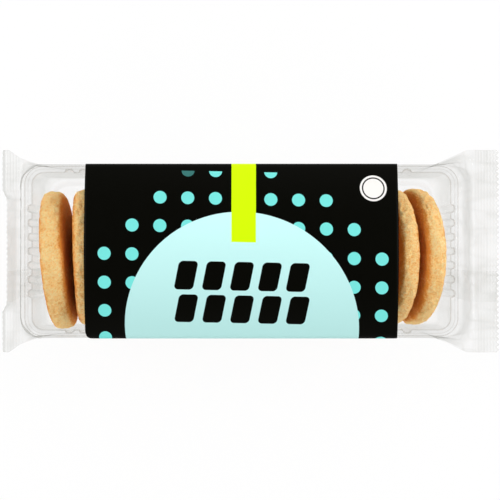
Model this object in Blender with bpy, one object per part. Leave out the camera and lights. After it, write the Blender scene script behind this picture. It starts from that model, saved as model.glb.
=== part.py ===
"""A flow-wrapped tray of shortbread biscuits with its printed label.

Two solids. sealed_pack is the sealed clear wrap out to its film, with the tray and the row of
biscuits inside it: a flat-bottomed body, ends that flatten and spread into crimped seals with
a pinked cut, and a left seal that is turned up, with its corners curled down. label is the sticker
that lies over the top and runs down the back wall.
Metres, +Z up, +X along the row of biscuits, origin at the middle of the pack's base.
"""

import math

import bpy

# Driving dimensions, in metres.
TRAY_LENGTH = 0.1912
TRAY_WIDTH = 0.0750
TRAY_CENTRE_X = -0.0038
RIM_HEIGHT = 0.0570
FILM_SLACK = 0.0007
WALL_LEAN = 0.0036
RIM_ROUND = 0.0020
BASE_ROUND = 0.0050
CROWN_ANGLE = math.radians(20.0)
END_CROWN_ANGLE = math.radians(2.0)
CROWN_LENGTH = 0.0860
CROWN_FADE = 0.0115

SEAL_WIDTH = 0.0920
LEFT_ROOT_WIDTH = 0.0846
SEAL_DEPTH = 0.0104
SEAL_THICKNESS = 0.0006
SEAL_HEIGHT = 0.0340
TOOTH_DEPTH = 0.0010
RIGHT_END_PANEL = 0.0093
LEFT_END_PANEL = 0.0042
RIGHT_EAR_LENGTH = 0.0105
RIGHT_EAR_PAST_END = 0.0033
LEFT_EAR_LENGTH = 0.0280
BASE_LIFT = 0.0060
TURN_UP = math.radians(72.0)
TURN_DOWN = math.radians(66.0)
TURN_LENGTH = 0.0030
CORNER_FLAT = 0.0052
CORNER_START = 0.0225
CORNER_FADE = 0.0060

LABEL_LENGTH = 0.1373
LABEL_GAP = 0.0003
LABEL_THICKNESS = 0.0003
LABEL_CORNER = 0.0030
LABEL_FRONT_OVERLAP = 0.0012
LABEL_BACK_DROP = 0.0440
LABEL_SKEW = -0.021

# How many straight steps each stretch of the section takes.
WALL_STEPS = 3
RIM_STEPS = 4
TOP_STEPS = 24
BASE_ROUND_STEPS = 5
BASE_STEPS = 22
LAYER_STEPS = 2 * WALL_STEPS + 2 * RIM_STEPS + TOP_STEPS
STRAIGHT_STRETCHES = 4
CORNER_STEPS = 6
FRONT_ROWS = 9
ROW_STEP = 0.0005
CURL_STEPS = 12
LABEL_COLUMNS = 10

# Worked out from them.
RIM_HALF_WIDTH = TRAY_WIDTH / 2 + FILM_SLACK
BASE_HALF_WIDTH = RIM_HALF_WIDTH - WALL_LEAN
TRAY_RIGHT = TRAY_CENTRE_X + TRAY_LENGTH / 2 + FILM_SLACK
TRAY_LEFT = TRAY_CENTRE_X - TRAY_LENGTH / 2 - FILM_SLACK


def smooth(value):
    """Eased 0 to 1."""
    t = min(max(value, 0.0), 1.0)
    return t * t * (3.0 - 2.0 * t)


def mix(a, b, share):
    """The value that share of the way from a to b."""
    return a + (b - a) * share


def wall_angle():
    """How far a side wall leans out from upright, as an angle."""
    return math.atan2(WALL_LEAN, RIM_HEIGHT - RIM_ROUND - BASE_ROUND)


def arc(centre_y, centre_z, radius, start, end, steps):
    """Points on an arc about a centre, both ends included; angles run from +Y towards +Z."""
    angles = [mix(start, end, i / steps) for i in range(steps + 1)]
    return [(centre_y + radius * math.cos(a), centre_z + radius * math.sin(a)) for a in angles]


def straight(start, end, steps):
    """Points from start up to but not including end."""
    return [(mix(start[0], end[0], i / steps), mix(start[1], end[1], i / steps)) for i in range(steps)]


def half_section(crown_angle):
    """The right half of the wrapped body's section, as two runs of (y, z) points.

    The upper run goes from half way up the wall, over the rim's edge and along the crown to the
    middle. The lower run goes from half way up the wall down to the middle of the base.
    """
    rim = arc(RIM_HALF_WIDTH - RIM_ROUND, RIM_HEIGHT - RIM_ROUND, RIM_ROUND,
              -wall_angle(), math.pi / 2 - crown_angle, RIM_STEPS)
    base = arc(BASE_HALF_WIDTH - BASE_ROUND, BASE_ROUND, BASE_ROUND,
               -wall_angle(), -math.pi / 2, BASE_ROUND_STEPS)
    middle = (mix(base[0][0], rim[0][0], 0.5), mix(base[0][1], rim[0][1], 0.5))
    edge_y, edge_z = rim[-1]
    rise = edge_y * math.tan(crown_angle) / 2
    steps = TOP_STEPS // 2
    crown = []
    for i in range(1, steps + 1):
        y = edge_y * (1 - i / steps)
        crown.append((y, edge_z + rise * (1 - (y / edge_y) ** 2)))
    steps = BASE_STEPS // 2
    floor = [(mix(base[-1][0], 0.0, i / steps), 0.0) for i in range(1, steps + 1)]
    upper = straight(middle, rim[0], WALL_STEPS) + rim + crown
    lower = straight(middle, base[0], WALL_STEPS) + base + floor
    return upper, lower


def mirrored(half):
    """A whole run from -Y to +Y, from its right half, which ends on the middle."""
    return [(-y, z) for y, z in half] + half[-2::-1]


def body_section(crown_angle):
    """(upper, lower) runs of the body's section, each from -Y to +Y."""
    upper, lower = half_section(crown_angle)
    return mirrored(upper), mirrored(lower)


def crown_at(x):
    """How steeply the film rises from the rim at x: full over the biscuits, low at the ends."""
    past = abs(x - TRAY_CENTRE_X) - CROWN_LENGTH
    return mix(CROWN_ANGLE, END_CROWN_ANGLE, smooth(past / CROWN_FADE))


def curl(distance, tilt_at):
    """(run, rise, tilt) after a distance along a sheet whose tilt is a function of distance."""
    run = rise = 0.0
    step = distance / CURL_STEPS
    for i in range(CURL_STEPS):
        tilt = tilt_at((i + 0.5) * step)
        run += math.cos(tilt) * step
        rise += math.sin(tilt) * step
    return run, rise, tilt_at(distance)


def seal_curl(distance, y):
    """Where the left seal's middle surface is: (run, rise, tilt) at a distance from its root.

    Its middle is turned up, and its two corners lie flat and then curl down.
    """
    middle = curl(distance, lambda at: TURN_UP * smooth(at / TURN_LENGTH))
    corner = curl(distance, lambda at: -TURN_DOWN * smooth((at - CORNER_FLAT) / TURN_LENGTH))
    share = smooth((abs(y) - CORNER_START) / CORNER_FADE)
    return tuple(mix(m, c, share) for m, c in zip(middle, corner))


def seal_half_width(side, distance):
    """Half the width of a seal: the left one still widens over the flat part of its corners."""
    if side > 0:
        return SEAL_WIDTH / 2
    return mix(LEFT_ROOT_WIDTH / 2, SEAL_WIDTH / 2, min(distance / CORNER_FLAT, 1.0))


def ear_share(side, past):
    """How far the wrap's sides are spread, from 0 to 1, at a distance past the tray's end.

    The right ear runs out in a straight line. The left one bows out slowly from further back.
    """
    if side > 0:
        share = (past + RIGHT_EAR_LENGTH) / (RIGHT_EAR_LENGTH + RIGHT_EAR_PAST_END)
        return min(max(share, 0.0), 1.0)
    share = (past + LEFT_EAR_LENGTH) / (LEFT_EAR_LENGTH + LEFT_END_PANEL)
    return min(max(share, 0.0), 1.0) ** 2


def seal_point(side, distance, across, offset, root_x):
    """A point of an end seal, offset above its middle surface, across from -1 to 1 over its width.

    side is 1 at the right end.
    """
    y = across * seal_half_width(side, distance)
    if side > 0:
        return (root_x + distance, y, SEAL_HEIGHT + offset)
    run, rise, tilt = seal_curl(distance, y)
    return (root_x - run + math.sin(tilt) * offset, y, SEAL_HEIGHT + rise + math.cos(tilt) * offset)


def end_ring(side, share, panel):
    """A ring of the end where the body flattens: share 0 is the body, 1 the seal's root.

    The sides spread out into ears from some way before the tray's end, and the top comes down
    only past it, so that the tray's rim stays covered.
    """
    tray_end, ear_length = (TRAY_RIGHT, RIGHT_EAR_LENGTH) if side > 0 else (TRAY_LEFT, LEFT_EAR_LENGTH)
    x = tray_end + side * mix(-ear_length, panel, share)
    past = side * (x - tray_end)
    flare = ear_share(side, past)
    fall = smooth(past / panel)
    rise = smooth((past + BASE_LIFT) / (panel + BASE_LIFT))
    ring = []
    for run, level, sign in zip(body_section(crown_at(x)), (fall, rise), (1.0, -1.0)):
        points = []
        for i, (body_y, body_z) in enumerate(run):
            inward = min(i, LAYER_STEPS - i) / WALL_STEPS
            spread = mix(flare, level, min(inward, 1.0))
            seal_y = mix(-1.0, 1.0, i / LAYER_STEPS) * seal_half_width(side, 0.0)
            seal_z = SEAL_HEIGHT + sign * SEAL_THICKNESS / 2
            points.append((x, mix(body_y, seal_y, spread), mix(body_z, seal_z, level)))
        ring.append(points)
    return ring


def seal_ring(side, distance, root_x):
    """A ring of an end seal at a distance from its root."""
    ring = []
    for sign in (1.0, -1.0):
        shares = [mix(-1.0, 1.0, i / LAYER_STEPS) for i in range(LAYER_STEPS + 1)]
        ring.append([seal_point(side, distance, a, sign * SEAL_THICKNESS / 2, root_x) for a in shares])
    return ring


def straight_ring(x):
    """A ring of the straight body at x."""
    return [[(x, y, z) for y, z in run] for run in body_section(crown_at(x))]


def pack_rings():
    """All rings of the pack, from the left seal's cut to the right one's."""
    left_root = TRAY_LEFT - LEFT_END_PANEL
    right_root = TRAY_RIGHT + RIGHT_END_PANEL
    seal_shares = (1.0, 0.85, 0.7, 0.55, 0.4, 0.25, 0.12)
    end_shares = (1.0, 0.97, 0.93, 0.88, 0.82, 0.75, 0.67, 0.59, 0.51, 0.43, 0.32, 0.16, 0.0)
    rings = [seal_ring(-1, SEAL_DEPTH * share, left_root) for share in seal_shares]
    rings += [end_ring(-1, share, LEFT_END_PANEL) for share in end_shares]
    low, high = TRAY_LEFT + LEFT_EAR_LENGTH, TRAY_RIGHT - RIGHT_EAR_LENGTH
    rings += [straight_ring(mix(low, high, i / STRAIGHT_STRETCHES)) for i in range(1, STRAIGHT_STRETCHES)]
    rings += [end_ring(1, share, RIGHT_END_PANEL) for share in reversed(end_shares)]
    rings += [seal_ring(1, SEAL_DEPTH * share, right_root) for share in (0.5, 1.0)]
    return rings, left_root, right_root


def pinked_end(verts, faces, ring_start, side, root_x):
    """Closes one end with a row of pointed teeth, one between each two points of a layer."""
    per_layer = LAYER_STEPS + 1
    for i in range(LAYER_STEPS):
        across = mix(-1.0, 1.0, (i + 0.5) / LAYER_STEPS)
        tip = len(verts)
        reach = SEAL_DEPTH + TOOTH_DEPTH
        verts.append(seal_point(side, reach, across, SEAL_THICKNESS / 2, root_x))
        verts.append(seal_point(side, reach, across, -SEAL_THICKNESS / 2, root_x))
        top_a, top_b = ring_start + i, ring_start + i + 1
        low_a, low_b = top_a + per_layer, top_b + per_layer
        tooth = [(top_a, tip, top_b), (low_b, tip + 1, low_a),
                 (top_a, low_a, tip + 1, tip), (tip, tip + 1, low_b, top_b)]
        faces += [face[::-1] for face in tooth] if side < 0 else tooth


def pack_mesh():
    """The sealed pack as (verts, faces): rings joined side by side, with a pinked cut at each end."""
    rings, left_root, right_root = pack_rings()
    verts, faces = [], []
    for upper, lower in rings:
        verts += upper + lower
    per_layer = LAYER_STEPS + 1
    size = 2 * per_layer
    order = list(range(per_layer)) + list(range(size - 1, per_layer - 1, -1))
    for r in range(len(rings) - 1):
        for k in range(size):
            a, b = order[k], order[(k + 1) % size]
            faces.append((r * size + a, (r + 1) * size + a, (r + 1) * size + b, r * size + b))
    pinked_end(verts, faces, 0, -1, left_root)
    pinked_end(verts, faces, (len(rings) - 1) * size, 1, right_root)
    return verts, faces


def label_path():
    """The line that the label follows round the body: (arc length, y, z, outward y, outward z).

    Arc length counts from the middle of the top, and grows towards the back wall at +Y.
    """
    upper, lower = body_section(CROWN_ANGLE)
    line = [lower[i] for i in range(WALL_STEPS, 0, -1)] + upper + lower[-2:-2 - WALL_STEPS:-1]
    lengths = [0.0]
    for (y0, z0), (y1, z1) in zip(line, line[1:]):
        lengths.append(lengths[-1] + math.hypot(y1 - y0, z1 - z0))
    path = []
    for i, (y, z) in enumerate(line):
        y0, z0 = line[max(i - 1, 0)]
        y1, z1 = line[min(i + 1, len(line) - 1)]
        size = math.hypot(y1 - y0, z1 - z0)
        path.append((lengths[i] - lengths[-1] / 2, y, z, -(z1 - z0) / size, (y1 - y0) / size))
    return path


def on_path(path, along, offset):
    """The (y, z) point at an arc length along the path, offset outwards from it."""
    for a, b in zip(path, path[1:]):
        if along <= b[0]:
            break
    share = (along - a[0]) / (b[0] - a[0])
    y, z, out_y, out_z = (mix(a[k], b[k], share) for k in range(1, 5))
    return y + out_y * offset, z + out_z * offset


def corner_inset(from_edge):
    """How far the label's end stands back at a distance from its front or back edge."""
    if from_edge >= LABEL_CORNER:
        return 0.0
    return LABEL_CORNER - math.sqrt(LABEL_CORNER ** 2 - (LABEL_CORNER - from_edge) ** 2)


def label_rows(path):
    """(arc length, skew share) of each of the label's rows.

    Rows are close together round the front rim's edge, where the label's front edge runs askew,
    and lie on the path's own points from the middle of the top to the back.
    """
    rim = max(p[0] for p in path if p[1] > RIM_HALF_WIDTH - RIM_ROUND / 4 and p[2] > SEAL_HEIGHT)
    front, back = -rim - LABEL_FRONT_OVERLAP, rim + LABEL_BACK_DROP
    eased = [LABEL_CORNER * (1 - math.cos(math.pi / 2 * i / CORNER_STEPS)) for i in range(CORNER_STEPS + 1)]
    rows = [(front + e, 1.0) for e in eased]
    rows += [(front + LABEL_CORNER + ROW_STEP * i, 1.0) for i in range(1, FRONT_ROWS + 1)]
    start, least = rows[-1][0], ROW_STEP / 2
    for along in (p[0] for p in path):
        if start + least < along < back - LABEL_CORNER - least:
            rows.append((along, max(0.0, along / start)))
    return rows + [(back - e, 0.0) for e in reversed(eased)]


def label_mesh():
    """The label as (verts, faces): a sheet of rows wrapped round the body, with real thickness."""
    path = label_path()
    rows = label_rows(path)
    front, back = rows[0][0], rows[-1][0]
    verts = []
    for offset in (LABEL_GAP + LABEL_THICKNESS, LABEL_GAP):
        for along, skew in rows:
            half = LABEL_LENGTH / 2 - corner_inset(min(along - front, back - along))
            for i in range(LABEL_COLUMNS + 1):
                x = mix(-half, half, i / LABEL_COLUMNS)
                y, z = on_path(path, along + skew * LABEL_SKEW * x, offset)
                verts.append((TRAY_CENTRE_X + x, y, z))
    width, sheet = LABEL_COLUMNS + 1, (LABEL_COLUMNS + 1) * len(rows)
    faces = []
    for r in range(len(rows) - 1):
        for c in range(LABEL_COLUMNS):
            a = r * width + c
            quad = (a, a + 1, a + 1 + width, a + width)
            faces.append(quad)
            faces.append(tuple(sheet + v for v in reversed(quad)))
    border = list(range(LABEL_COLUMNS))
    border += [r * width + LABEL_COLUMNS for r in range(len(rows) - 1)]
    border += [(len(rows) - 1) * width + c for c in range(LABEL_COLUMNS, 0, -1)]
    border += [r * width for r in range(len(rows) - 1, 0, -1)]
    for a, b in zip(border, border[1:] + border[:1]):
        faces.append((b, a, a + sheet, b + sheet))
    return verts, faces


def material(name, colour, roughness, alpha=1.0):
    """A Principled material."""
    made = bpy.data.materials.new(name)
    made.use_nodes = True
    shader = made.node_tree.nodes["Principled BSDF"]
    shader.inputs["Base Color"].default_value = (*colour, 1.0)
    shader.inputs["Roughness"].default_value = roughness
    shader.inputs["Alpha"].default_value = alpha
    return made


def add_object(name, mesh_data, finish):
    """One named object from (verts, faces), with its material."""
    verts, faces = mesh_data
    mesh = bpy.data.meshes.new(name)
    mesh.from_pydata(verts, [], faces)
    mesh.validate()
    mesh.materials.append(finish)
    mesh.shade_smooth()
    mesh.set_sharp_from_angle(angle=math.radians(35.0))
    made = bpy.data.objects.new(name, mesh)
    bpy.context.scene.collection.objects.link(made)
    return made


def main():
    """Clears the scene and builds the pack and its label."""
    for old in list(bpy.data.objects):
        bpy.data.objects.remove(old, do_unlink=True)
    film = material("clear_film", (0.90, 0.91, 0.91), 0.15, 0.35)
    print_face = material("label_print", (0.012, 0.013, 0.010), 0.35)
    add_object("sealed_pack", pack_mesh(), film)
    add_object("label", label_mesh(), print_face)


main()
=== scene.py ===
"""Looks of a flow-wrapped tray of round shortbread biscuits with a wide printed label.

The sealed solid of the frame is replaced by what the real pack is: a clear crimped film with its
back seam, a thermoformed clear tray with fluted walls, and fifteen biscuits on edge. The label's
solid is replaced by a fine printed sheet. All lengths are in metres unless a name says mm.
"""

import itertools
import logging
import math
from dataclasses import dataclass, field, replace
from enum import Enum

import bmesh
import bpy
import numpy as np
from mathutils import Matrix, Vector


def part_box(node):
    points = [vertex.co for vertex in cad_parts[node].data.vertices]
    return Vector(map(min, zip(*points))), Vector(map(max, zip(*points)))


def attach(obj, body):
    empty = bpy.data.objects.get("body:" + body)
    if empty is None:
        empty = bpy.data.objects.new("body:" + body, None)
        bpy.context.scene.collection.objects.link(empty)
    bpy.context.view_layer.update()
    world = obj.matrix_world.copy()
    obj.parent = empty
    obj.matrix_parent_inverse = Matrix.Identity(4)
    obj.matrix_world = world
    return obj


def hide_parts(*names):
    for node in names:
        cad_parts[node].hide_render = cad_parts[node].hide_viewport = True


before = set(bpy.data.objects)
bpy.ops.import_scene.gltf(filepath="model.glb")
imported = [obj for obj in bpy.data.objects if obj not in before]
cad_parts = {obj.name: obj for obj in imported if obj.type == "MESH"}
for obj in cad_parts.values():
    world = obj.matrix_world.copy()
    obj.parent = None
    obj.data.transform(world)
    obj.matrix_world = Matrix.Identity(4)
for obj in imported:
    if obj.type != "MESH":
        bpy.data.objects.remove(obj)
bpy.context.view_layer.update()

MM = 0.001
BODY = "root"
PACK_NODE = "sealed_pack"
LABEL_NODE = "label"
log = logging.getLogger("pack")


class Side(Enum):
    """The pack's two ends, by the sign of their X."""

    LEFT = -1
    RIGHT = 1


class Layer(Enum):
    """The wrap's two layers, by the sign of their outward Z."""

    UPPER = 1
    LOWER = -1


# ---------------------------------------------------------------- arithmetic


def ease(value: np.ndarray | float) -> np.ndarray:
    """Eased 0 to 1: three times the square less twice the cube of the clamped value."""
    t = np.clip(value, 0.0, 1.0)
    return t * t * (3.0 - 2.0 * t)


def mix(a: np.ndarray | float, b: np.ndarray | float, share: np.ndarray | float) -> np.ndarray:
    """The value that share of the way from a to b."""
    return a + (b - a) * share


def value_noise(points: np.ndarray, cell: float | tuple[float, float, float], seed: int) -> np.ndarray:
    """Smooth noise from 0 to 1: random values on a lattice, blended by the eased place in a cell.

    Args:
        points: positions, with X, Y and Z along the last axis.
        cell: size of a lattice cell, one number or one for each axis.
        seed: which lattice.

    Returns:
        One value for each position.
    """
    size = 48
    lattice = np.random.default_rng(seed).random((size, size, size))
    scaled = points / np.asarray(cell)
    base = np.floor(scaled).astype(int)
    t = ease(scaled - base)
    total = np.zeros(points.shape[:-1])
    for corner in itertools.product((0, 1), repeat=3):
        index = (base + corner) % size
        weight = np.prod(np.where(corner, t, 1.0 - t), axis=-1)
        total += weight * lattice[index[..., 0], index[..., 1], index[..., 2]]
    return total


def fractal(points: np.ndarray, cell: float, octaves: int, seed: int) -> np.ndarray:
    """Noise of several octaves from -1 to 1, each half the size and strength of the last."""
    total, strength, reach = 0.0, 1.0, 0.0
    for octave in range(octaves):
        total = total + strength * (2.0 * value_noise(points, cell / 2 ** octave, seed + octave) - 1.0)
        reach += strength
        strength /= 2.0
    return total / reach


def folds(points: np.ndarray, cell: tuple[float, float, float], seed: int, sharp: float) -> np.ndarray:
    """Crease lines from 0 to 1: high along the lines where noise crosses its middle value."""
    return (1.0 - np.abs(2.0 * value_noise(points, cell, seed) - 1.0)) ** sharp


def grid_normals(points: np.ndarray) -> np.ndarray:
    """Unit normals of a grid of points: the cross product of its two directions."""
    normals = np.cross(np.gradient(points, axis=0), np.gradient(points, axis=1))
    return normals / np.maximum(np.linalg.norm(normals, axis=-1, keepdims=True), 1e-12)


def grid_quads(rows: int, columns: int, round_columns: bool = False) -> np.ndarray:
    """Quads of a grid of rows by columns of vertices, closed round its columns if asked."""
    last = columns if round_columns else columns - 1
    r, c = np.meshgrid(np.arange(rows - 1), np.arange(last), indexing="ij")
    a, b = r * columns + c, r * columns + (c + 1) % columns
    return np.stack((a, a + columns, b + columns, b), axis=-1).reshape(-1, 4)


def pole_fans(rows: int, columns: int, first: int, last: int) -> list[list[int]]:
    """Triangles that close the first and last ring of a round grid on two pole vertices."""
    ring = np.arange(columns)
    after = (ring + 1) % columns
    start = np.stack((np.full(columns, first), ring, after), axis=-1)
    base = (rows - 1) * columns
    end = np.stack((np.full(columns, last), base + after, base + ring), axis=-1)
    return start.tolist() + end.tolist()


# ---------------------------------------------------------------- making pieces


def linear(code: str) -> tuple[float, float, float, float]:
    """A colour written as sRGB hex, as linear red, green, blue and 1."""
    parts = [int(code[i:i + 2], 16) / 255.0 for i in (1, 3, 5)]
    return (*(c / 12.92 if c <= 0.04045 else ((c + 0.055) / 1.055) ** 2.4 for c in parts), 1.0)


def add_node(tree: bpy.types.NodeTree, kind: str, inputs: dict | None = None, **settings) -> bpy.types.Node:
    """Adds a node with its settings, input values and links.

    Args:
        tree: the node tree.
        kind: the node's type name.
        inputs: for each input, by name or number, a value or the output socket to link from.
        settings: the node's own properties.

    Returns:
        The node.
    """
    node = tree.nodes.new(kind)
    for name, value in settings.items():
        setattr(node, name, value)
    for key, value in (inputs or {}).items():
        if isinstance(value, bpy.types.NodeSocket):
            tree.links.new(value, node.inputs[key])
        else:
            node.inputs[key].default_value = value
    return node


def new_material(name: str) -> tuple[bpy.types.Material, bpy.types.NodeTree, bpy.types.Node]:
    """A material with an empty tree: (material, its tree, its output node)."""
    material = bpy.data.materials.new(name)
    material.use_nodes = True
    material.node_tree.nodes.clear()
    return material, material.node_tree, add_node(material.node_tree, "ShaderNodeOutputMaterial")


def new_piece(name: str, points: np.ndarray, faces: list, material: bpy.types.Material, slot: str | None,
              uv: np.ndarray | None = None, marks: dict[str, np.ndarray] | None = None,
              weld: float = 0.0) -> bpy.types.Object:
    """Makes one mesh object at the origin that rides on the body.

    Args:
        name: the piece's name.
        points: its vertices, in any grid shape with X, Y and Z last.
        faces: lists of vertex numbers.
        material: its finish.
        slot: None for a piece of the stage; any other value makes the piece ride on the body, and is not otherwise
            used.
        uv: a pair for each vertex.
        marks: named numbers for each vertex, which materials read as attributes.
        weld: vertices closer than this are merged.

    Returns:
        The object.
    """
    mesh = bpy.data.meshes.new(name)
    mesh.from_pydata(points.reshape(-1, 3), [], faces)
    if uv is not None:
        corners = np.empty(len(mesh.loops), dtype=np.int32)
        mesh.loops.foreach_get("vertex_index", corners)
        mesh.uv_layers.new(name="sheet").data.foreach_set("uv", uv.reshape(-1, 2)[corners].ravel())
    for key, values in (marks or {}).items():
        mark = mesh.attributes.new(key, "FLOAT", "POINT")
        mark.data.foreach_set("value", values.ravel().astype(np.float32))
    if weld > 0.0:
        work = bmesh.new()
        work.from_mesh(mesh)
        bmesh.ops.remove_doubles(work, verts=work.verts, dist=weld)
        bmesh.ops.dissolve_degenerate(work, edges=work.edges, dist=weld)
        work.to_mesh(mesh)
        work.free()
    mesh.materials.append(material)
    mesh.shade_smooth()
    piece = bpy.data.objects.new(name, mesh)
    bpy.context.scene.collection.objects.link(piece)
    if slot is not None:
        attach(piece, BODY)
    log.info("%s: %d faces", name, len(mesh.polygons))
    return piece


# ---------------------------------------------------------------- finishes


@dataclass(frozen=True)
class ClearSheet:
    """Clear plastic sheet, drawn as Transparent under a weak mirror layer.

    What lies behind shows through unbent. The sheet turns grey where it slants away, as thicker
    plastic does. Along the lines that its mesh marks as creases, crimps or fillets it is painted darker:
    painted shade for how the bent sheet turns light aside there.
    """

    name: str
    clear: str
    slanted: str
    crease_shade_colour: str
    mirror_rough: float
    mirror_head_on: float
    mirror_slanted: float
    slant_power: float
    haze: float
    haze_colour: str

    def build(self) -> bpy.types.Material:
        """The material. It reads the mesh's haze attribute, and its attribute of painted shade along creases and
        fillets.
        """
        material, tree, output = new_material(self.name)
        facing = add_node(tree, "ShaderNodeLayerWeight", {"Blend": 0.5}).outputs["Facing"]
        slant = add_node(tree, "ShaderNodeMath", {0: facing, 1: self.slant_power}, operation="POWER")
        # Painted shade: this attribute darkens the clear colour along creases, crimps and fillets.
        crease_and_shade = add_node(tree, "ShaderNodeAttribute", attribute_name="crease_and_shade").outputs["Fac"]
        # The colour sockets of a Mix node, 6 and 7, come after its number and vector ones.
        first = add_node(tree, "ShaderNodeMix", {"Factor": slant.outputs[0], 6: linear(self.clear),
                                                 7: linear(self.slanted)}, data_type="RGBA")
        second = add_node(tree, "ShaderNodeMix", {"Factor": crease_and_shade, 6: first.outputs[2],
                                                  7: linear(self.crease_shade_colour)}, data_type="RGBA")
        through = add_node(tree, "ShaderNodeBsdfTransparent", {"Color": second.outputs[2]})
        mirror = add_node(tree, "ShaderNodeBsdfGlossy", {"Roughness": self.mirror_rough})
        steep = add_node(tree, "ShaderNodeMath", {0: facing, 1: 5.0}, operation="POWER")
        share = add_node(tree, "ShaderNodeMath", {0: steep.outputs[0], 1: self.mirror_slanted,
                                                  2: self.mirror_head_on}, operation="MULTIPLY_ADD")
        sheet = add_node(tree, "ShaderNodeMixShader", {0: share.outputs[0], 1: through.outputs[0],
                                                       2: mirror.outputs[0]})
        cloud = add_node(tree, "ShaderNodeBsdfDiffuse", {"Color": linear(self.haze_colour)})
        hazed = add_node(tree, "ShaderNodeAttribute", attribute_name="haze").outputs["Fac"]
        cloudy = add_node(tree, "ShaderNodeMath", {0: hazed, 1: self.haze}, operation="MULTIPLY")
        whole = add_node(tree, "ShaderNodeMixShader", {0: cloudy.outputs[0], 1: sheet.outputs[0],
                                                       2: cloud.outputs[0]})
        tree.links.new(whole.outputs[0], output.inputs["Surface"])
        return material


@dataclass(frozen=True)
class BakedCrumb:
    """Baked shortbread: a matt, sandy crumb, pale gold round the edge and browner on the faces,
    partly as baked colour and partly as painted shade, since the faces stand in shade between the biscuits.
    """

    name: str = "baked_shortbread_crumb"
    pale: str = "#ffdf9e"
    golden: str = "#ffc87c"
    face_brown_and_shade: str = "#e8963c"
    grain_mm: float = 0.8
    patch_mm: float = 7.0

    def build(self) -> bpy.types.Material:
        """The material. The mesh's attribute for browned colour and painted shade is 0 on the rim and 1 on the
        faces.
        """
        material, tree, output = new_material(self.name)
        where = add_node(tree, "ShaderNodeTexCoord").outputs["Object"]
        patch = add_node(tree, "ShaderNodeTexNoise", {"Vector": where, "Scale": 1000.0 / self.patch_mm,
                                                      "Detail": 3.0, "Roughness": 0.6})
        grain = add_node(tree, "ShaderNodeTexNoise", {"Vector": where, "Scale": 1000.0 / self.grain_mm,
                                                      "Detail": 2.0, "Roughness": 0.7})
        browning_and_shade = add_node(tree, "ShaderNodeAttribute", attribute_name="browning_and_shade").outputs["Fac"]
        uneven = add_node(tree, "ShaderNodeMath", {0: patch.outputs["Fac"], 1: 0.7, 2: -1.12},
                          operation="MULTIPLY_ADD")
        grainy = add_node(tree, "ShaderNodeMath", {0: grain.outputs["Fac"], 1: 2.0, 2: uneven.outputs[0]},
                          operation="MULTIPLY_ADD")
        baked = add_node(tree, "ShaderNodeMath", {0: browning_and_shade, 1: grainy.outputs[0]}, operation="ADD")
        ramp = add_node(tree, "ShaderNodeValToRGB", {"Fac": baked.outputs[0]})
        for stop, (place, code) in enumerate(((0.05, self.pale), (0.5, self.golden), (1.0, self.face_brown_and_shade))):
            if stop >= len(ramp.color_ramp.elements):
                ramp.color_ramp.elements.new(1.0)
            ramp.color_ramp.elements[stop].position = place
            ramp.color_ramp.elements[stop].color = linear(code)
        bump = add_node(tree, "ShaderNodeBump", {"Height": grain.outputs["Fac"], "Strength": 1.0,
                                                 "Distance": 0.70 * MM})
        shader = add_node(tree, "ShaderNodeBsdfPrincipled", {
            "Base Color": ramp.outputs["Color"], "Normal": bump.outputs["Normal"], "Roughness": 0.82,
            "Specular IOR Level": 0.25, "Subsurface Weight": 0.12, "Subsurface Scale": 2.0 * MM,
            "Subsurface Radius": (1.0, 0.55, 0.25)})
        tree.links.new(shader.outputs[0], output.inputs["Surface"])
        return material


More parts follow.
